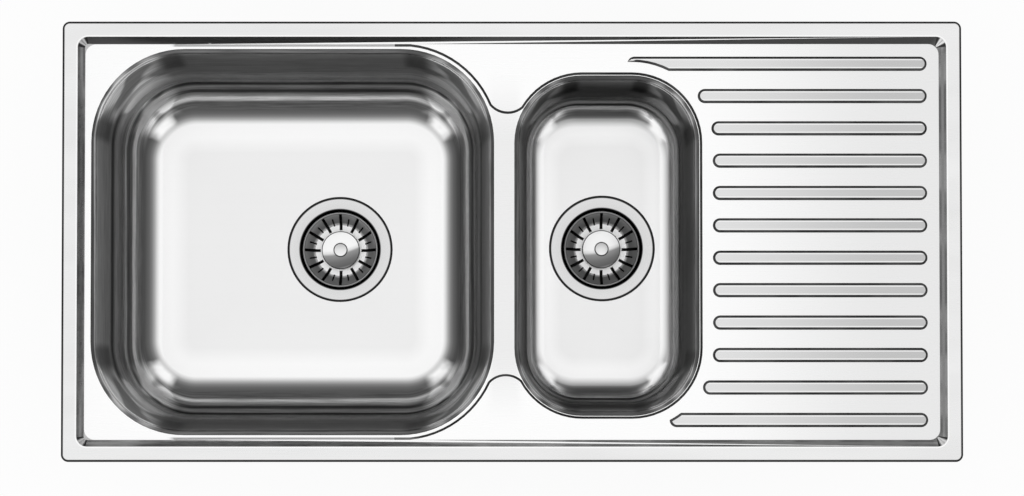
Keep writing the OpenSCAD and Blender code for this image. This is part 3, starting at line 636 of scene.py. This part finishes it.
def deck_paint(tree, point, normal):
    """Paint for the deck: level paint or painted slope shade by the normal, and a painted dark
    line of shade on the rolled edge.
    """
    x, y, z = split(tree, point)
    step = inside(tree, point, STEP)
    # Painted shade: the more the normal leans, the more of the slope's dark paint.
    lean = fade(tree, split(tree, normal)[2], SLOPED, LEVEL, 1.0, 0.0)
    # The low ledge beside the big bowl's long sides gets no painted slope shade, so it is as
    # bright as the border next to it.
    ledge = times(tree, calc(tree, "LESS_THAN", x, LEDGE_X),
                  calc(tree, "GREATER_THAN", step["Inset"], STEP_W - 0.2))
    lean = times(tree, lean, minus(tree, 1.0, ledge))
    sheet = blend(tree, lean, level_paint(tree, point, step["Inset"]),
                  painted_slope_shade(tree, point, step))
    # Painted shade: a dark line on the rolled edge.
    rolled = fade(tree, inside(tree, point, RIM)["Inset"], *ROLL, 1.0, 0.0)
    return blend(tree, rolled, sheet, linear(ROLL_SHADE_GREY))


deck_steel = steel("deck steel", deck_paint, 0.28, grain=0.03, tint=0.9)
dress("deck", deck_steel)
print("deck dressed")

# %% [markdown]
# Meshes from code
#
# A few pieces are made here and not in the solid model. Each is built as a bmesh, which
# is a mesh in memory that can be edited freely, and then becomes an object.

# %% Object helper
def place_mesh(name, shape, material):
    """Turns a bmesh into an object of the scene, with one material."""
    mesh = bpy.data.meshes.new(name)
    shape.to_mesh(mesh)
    shape.free()
    mesh.materials.append(material)
    piece = bpy.data.objects.new(name, mesh)
    bpy.context.scene.collection.objects.link(piece)
    return piece


print("object helper ready")

# %% [markdown]
# The left corners of the deck
#
# On the real sink the deck's two left corners lie as low as the border round the big
# bowl, so no ledge shows there. The solid model leaves them a little higher. A copy of
# the deck's mesh is merged, and the corner's flat points are moved down to that level.
# The step round them only gets a little taller, and no new face is needed.

# %% Lower the left corners
CORNER_X, DROP = -0.36, 0.0025
FLATS = (-0.003, -0.0038)  # the heights of the sheet's upper and lower face there
SAME_POINT, SAME_HEIGHT = 1e-6, 5e-5


def is_flat(vert):
    return min(abs(vert.co.z - height) for height in FLATS) < SAME_HEIGHT


shape = bmesh.new()
shape.from_mesh(nodes["deck"].data)
bmesh.ops.remove_doubles(shape, verts=shape.verts, dist=SAME_POINT)
low_corner = [vert for vert in shape.verts if vert.co.x < CORNER_X and is_flat(vert)]
lowered = len(low_corner)
bmesh.ops.translate(shape, verts=low_corner, vec=(0, 0, -DROP))
pressed_deck = place_mesh("pressed_deck", shape, deck_steel)
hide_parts("deck")
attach(pressed_deck, "sink")
print("points lowered:", lowered, "of", len(pressed_deck.data.vertices))

# %% [markdown]
# The strainers
#
# Each waste has a polished ring set into the floor, a pierced basket and a domed knob
# with a button. They are turned and pressed round one axis, so their paint, with its painted
# shade and reflections, goes by the distance from that axis. The knob's dome gets a painted
# reflection of one bright and one dark half, and that goes by the distance from back to front.

# %% Strainer finishes
STRAINER_SPAN = 64
KNOB_R, PIN_R = 22.0, 8.0
# Painted shade: dark inside the ring's cup and in the gap round its outer edge.
RING = [
    (0, 16), (45.2, 18), (46.0, 60), (46.6, 150), (47.2, 216), (57.2, 221), (57.9, 40),
    (62, 36),
]
# Painted reflections: white on the flat bottom, greyer on the cone, with a dark and a light
# line near the rim.
BASKET = [
    (0, 252), (30.2, 254), (32.2, 150), (36, 160), (40, 165), (40.8, 120), (41.6, 170),
    (43.4, 110),
]
# Painted reflection of the dome, from back to front.
DOME = [
    (0, 240), (0.1, 250), (0.48, 252), (0.56, 226), (0.62, 150), (0.8, 116), (0.94, 100),
    (1, 150),
]
# Painted light on the pin, from back to front.
PIN = [(0, 190), (0.5, 232), (1, 252)]
# Half of the angle between two slots, which is also how far the rings of slots are apart.
SLOT_TURN = math.pi / 12
# For each ring of slots: its turn, and a slot's half width, inner and outer radius.
SLOTS = ((0.0, 1.55, 23.6, 40.6), (SLOT_TURN, 0.75, 29.0, 36.0))
# Painted shade in and round the slots, near black.
SLOT_SHADE_COLOUR = (0.004, 0.004, 0.004, 1)
# Both dark lines are painted shade.
DOME_EDGE, PIN_EDGE = 20.6, 7.6  # radius of the dark line round the knob, and round its pin
LEAN_LEFT, BEND = -0.22, 0.006  # how the line between the dome's halves runs


def round_paint(axis, draw):
    """Paint by the place round the waste's axis, in millimetres."""
    def paint(tree, point, normal):
        x, y, z = split(tree, point)
        dx, dy = minus(tree, x, axis[0]), minus(tree, y, axis[1])
        square = plus(tree, times(tree, dx, dx), times(tree, dy, dy))
        return draw(tree, calc(tree, "SQRT", square), dx, dy)
    return paint


def ring_greys(tree, radius, dx, dy):
    return greys(tree, radius, RING, STRAINER_SPAN)


def basket_greys(tree, radius, dx, dy):
    base = greys(tree, radius, BASKET, STRAINER_SPAN)
    # Painted shade round each slot, as dark as the hole, makes the slots look a little wider.
    angle = calc(tree, "ARCTAN2", dy, dx)
    for turn, half_width, inner_r, outer_r in SLOTS:
        off = calc(tree, "WRAP", plus(tree, angle, turn), SLOT_TURN, -SLOT_TURN)
        beside = times(tree, radius, calc(tree, "ABSOLUTE", off))
        in_ring = band(tree, radius, (inner_r + outer_r) / 2, (outer_r - inner_r) / 2, 0.4)
        slot = times(tree, fade(tree, beside, half_width, half_width + 0.3, 1.0, 0.0), in_ring)
        base = blend_colours(tree, slot, base, SLOT_SHADE_COLOUR)
    return base


def knob_greys(tree, radius, dx, dy):
    # Painted reflection: the bright half of the dome faces the back, and it reaches round the
    # left side.
    bend = times(tree, times(tree, dx, dx), BEND)
    back = plus(tree, times(tree, dx, LEAN_LEFT), minus(tree, dy, bend))
    down = calc(tree, "DIVIDE", minus(tree, KNOB_R, back), 2 * KNOB_R)
    dome = greys(tree, down, DOME, 1)
    # A painted dark line of shade round the knob's edge.
    return blend(tree, fade(tree, radius, DOME_EDGE, DOME_EDGE + 0.6), dome, linear(50))


def pin_greys(tree, radius, dx, dy):
    # Painted light: the pin grows lighter towards the front, with a painted dark line of shade
    # round its edge.
    down = calc(tree, "DIVIDE", minus(tree, PIN_R, dy), 2 * PIN_R)
    line = band(tree, radius, PIN_EDGE, 0.5, 0.3)
    return blend(tree, line, greys(tree, down, PIN, 1), linear(40))


STRAINER = (
    ("waste_flange", "ring steel", ring_greys, {"rough": 0.22, "grain": 0.03, "tint": 0.4}),
    ("basket", "basket steel", basket_greys,
     {"rough": 0.3, "grain": 0.04, "tint": 0.6, "metal": 0.5}),
    ("knob", "knob steel", knob_greys, {"rough": 0.35, "grain": 0.04, "level": 2.0}),
    ("knob_pin", "pin steel", pin_greys, {"rough": 0.35, "grain": 0.04}),
)
for side, axis in (("main", MAIN_WASTE), ("half", HALF_WASTE)):
    for part, label, draw, finish in STRAINER:
        dress(f"{side}_{part}", steel(f"{side} {label}", round_paint(axis, draw), **finish))
print("strainers dressed")

# %% [markdown]
# Rubber, plastic and the fixings below
#
# The parts under the sink are plainer: black rubber gaskets, a white moulded waste body,
# zinc-plated clips and damping pads. Each still has a texture of its own, made of one
# fine and one coarse noise, since a single flat colour would look like a drawing.

# %% Rubber and plastic
def matt(name, colour, rough, speck, size, bump=0.2, low=0.9, high=1.1):
    """A soft or moulded material. speck is the share of the fine noise, size its scale,
    and low and high are how far the noise darkens and lightens the colour."""
    material, tree, shader, place = new_material(name)
    dots = noise(tree, place["Object"], size, 4.0, 0.6)
    clouds = noise(tree, place["Object"], size * 0.08, 2.0, 0.5)
    mottle = plus(tree, times(tree, dots, speck), times(tree, clouds, 1 - speck))
    gain = blend(tree, mottle, low, high)
    plug(tree, shader["Base Color"], scaled(tree, colour, gain))
    plug(tree, shader["Roughness"], blend(tree, dots, rough - 0.08, rough + 0.08))
    plug(tree, shader["Normal"], bump_node(tree, dots, bump, 0.0005).outputs[0])
    return material


def mottled(scale, low, high):
    """Paint that wanders between two linear greys."""
    def paint(tree, point, normal):
        return blend(tree, noise(tree, point, scale, 3.0), low, high)
    return paint


rubber = matt("black rubber", (0.018, 0.018, 0.018), 0.6, 0.5, 900)
foam = matt("foam seal", (0.05, 0.05, 0.05), 0.9, 0.8, 1500, 0.5, 0.6, 1.4)
pad = matt("damping pad", (0.045, 0.043, 0.04), 0.8, 0.6, 700, 0.4, 0.7, 1.3)
plastic = matt("white plastic", (0.78, 0.78, 0.76), 0.45, 0.2, 1200, 0.08, 0.96, 1.02)
zinc = steel("zinc plate", mottled(0.35, 0.38, 0.56), 0.42, grain=0.1, along=0.3, tint=0.7)
screw = steel("screw steel", mottled(0.5, 0.4, 0.55), 0.35, grain=0.08, along=1.0, tint=0.7)
dress("rim_seal", foam)
for node in nodes:
    if node.endswith(("gasket", "stopper")):
        dress(node, rubber)
    if node.endswith("sound_pad"):
        dress(node, pad)
    if node.endswith("waste_body"):
        dress(node, plastic)
    if "screw" in node:
        dress(node, screw)
    elif node in ("fixing_rails", "clip_hooks") or node.startswith("claw_"):
        dress(node, zinc)
print("materials:", len(bpy.data.materials))

# %% [markdown]
# Threads
#
# The outlets below the wastes and the clip screws are threaded, and the solid model
# leaves them smooth. A thread is one tooth wound round an axis while it rises, so a
# single spin with a small lift at each step makes it. The tooth is a closed outline that
# starts a little inside the part, so that no gap shows, and its two ends are filled. A
# bump in the material would be less work, but the edge of the part would stay straight.

# %% Wind the threads
OUTLET = {"radius": 0.0239, "tooth": 0.0007, "pitch": 0.0023, "sides": 64}
CLIP_SCREW = {"radius": 0.0025, "tooth": 0.0002, "pitch": 0.0008, "sides": 16}
OUTLET_START, OUTLET_END = 0.0012, 0.022  # both above the outlet's lower end
SCREW_START, SCREW_END = 0.0036, 0.0008  # above the lower end, and below the upper end
SUNK = 0.0002  # how deep a tooth starts inside its part


def thread(name, axis, low, high, body, slot, material, *, radius, tooth, pitch, sides):
    """A thread round the vertical axis at (x, y), from low to high. Sizes are in metres."""
    x, y = axis
    shape = bmesh.new()
    outline = [(-SUNK, 0), (tooth, 0.3 * pitch), (tooth, 0.45 * pitch), (-SUNK, 0.75 * pitch)]
    corners = [shape.verts.new((x + radius + out, y, low + up)) for out, up in outline]
    edges = [shape.edges.new((corners[n - 1], corners[n])) for n in range(len(corners))]
    turns = (high - low) / pitch - 0.75
    bmesh.ops.spin(shape, geom=corners + edges, cent=(x, y, 0), axis=(0, 0, 1),
                   dvec=(0, 0, pitch / sides), angle=2 * math.pi * turns,
                   steps=round(turns * sides), use_duplicate=False)
    open_ends = [edge for edge in shape.edges if edge.is_boundary]
    bmesh.ops.holes_fill(shape, edges=open_ends, sides=0)
    bmesh.ops.recalc_face_normals(shape, faces=shape.faces)
    piece = place_mesh(name, shape, material)
    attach(piece, body)
    return len(piece.data.polygons)


for side, axis in (("main", MAIN_WASTE), ("half", HALF_WASTE)):
    low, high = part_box(f"{side}_waste_body")
    faces = thread(f"{side}_outlet_thread", (axis[0] / MM, axis[1] / MM),
                   low.z + OUTLET_START, low.z + OUTLET_END,
                   "sink", "white_plastic", plastic, **OUTLET)
    print(side, "outlet thread:", faces, "faces")
for n in range(1, 7):
    low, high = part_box(f"claw_screw_{n}")
    centre = (low + high) / 2
    faces = thread(f"claw_screw_thread_{n}", (centre.x, centre.y),
                   low.z + SCREW_START, high.z - SCREW_END,
                   f"screw_{n}", "screw_steel", screw, **CLIP_SCREW)
print("each clip screw's thread:", faces, "faces")

# %% [markdown]
# Floor
#
# The photograph has a plain white ground. A white plane alone would go grey where the
# lamps don't reach, so the camera and the metal see it as light that it gives off itself,
# mixed with a little of its diffuse half, which keeps the soft shadow of the sink.

# %% Floor
FLOOR_GAP, FLOOR_SIZE = 0.0005, 8.0
GLOW_SHARE = 0.9
floor_material = bpy.data.materials.new("pale floor")
floor_material.use_nodes = True
tree = floor_material.node_tree
diffuse = tree.nodes["Principled BSDF"]
diffuse.inputs["Base Color"].default_value = (0.94, 0.94, 0.94, 1)
diffuse.inputs["Roughness"].default_value = 0.9
glow = tree.nodes.new("ShaderNodeEmission")
glow.inputs["Strength"].default_value = 1.0
rays = tree.nodes.new("ShaderNodeLightPath").outputs
seen = calc(tree, "MAXIMUM", rays["Is Camera Ray"], rays["Is Glossy Ray"])
seen = calc(tree, "MAXIMUM", seen, rays["Is Transmission Ray"])
mix = tree.nodes.new("ShaderNodeMixShader")
plug(tree, mix.inputs[0], times(tree, seen, GLOW_SHARE))
plug(tree, mix.inputs[1], diffuse.outputs[0])
plug(tree, mix.inputs[2], glow.outputs[0])
plug(tree, tree.nodes["Material Output"].inputs[0], mix.outputs[0])
shape = bmesh.new()
bmesh.ops.create_grid(shape, x_segments=1, y_segments=1, size=FLOOR_SIZE,
                      matrix=Matrix.Translation((0, 0, cad_low.z - FLOOR_GAP)))
floor = place_mesh("floor", shape, floor_material)
print("floor at", round(cad_low.z, 4), "m")

# %% [markdown]
# World and lamps
#
# A metal shows what is around it and nothing else, so an even white world does most of
# the work. Mirrored rays see it darker near the horizon, as in a studio with a light
# overhead and dim walls. Two weak lamps give the floor its shadow. The Standard view
# keeps the greys as they were measured, where a film look would change them.

# %% World and lamps
WORLD_LIGHT, WORLD_SEEN = 0.95, 1.0
HORIZON, ZENITH = (0.1, 0.42), (0.85, 0.96)  # height of a mirrored ray, and the light it sees
LAMPS = (  # name, place, size in metres, power in watts
    ("overhead", (0, 0.2, 3.9), 3.0, 1.5),
    ("front left", (-2.2, -2.4, 2.6), 1.6, 3),
)
world = bpy.data.worlds.new("studio")
bpy.context.scene.world = world
world.use_nodes = True
tree = world.node_tree
sky = tree.nodes["Background"]
sky.inputs["Color"].default_value = (1, 1, 1, 1)
rays = tree.nodes.new("ShaderNodeLightPath").outputs
direction = tree.nodes.new("ShaderNodeTexCoord").outputs["Generated"]
upward = split(tree, direction)[2]
mirrored = fade(tree, upward, HORIZON[0], ZENITH[0], HORIZON[1], ZENITH[1])
light = blend(tree, rays["Is Glossy Ray"], WORLD_LIGHT, mirrored)
plug(tree, sky.inputs["Strength"], blend(tree, rays["Is Camera Ray"], light, WORLD_SEEN))
for label, place, size, power in LAMPS:
    lamp = bpy.data.lights.new(label, "AREA")
    lamp.shape, lamp.size, lamp.energy = "SQUARE", size, power
    lamp_object = bpy.data.objects.new(label, lamp)
    lamp_object.location = place
    lamp_object.rotation_euler = (-Vector(place)).to_track_quat("-Z", "Y").to_euler()
    bpy.context.scene.collection.objects.link(lamp_object)
bpy.context.scene.view_settings.view_transform = "Standard"
print("lamps:", len(bpy.data.lights))
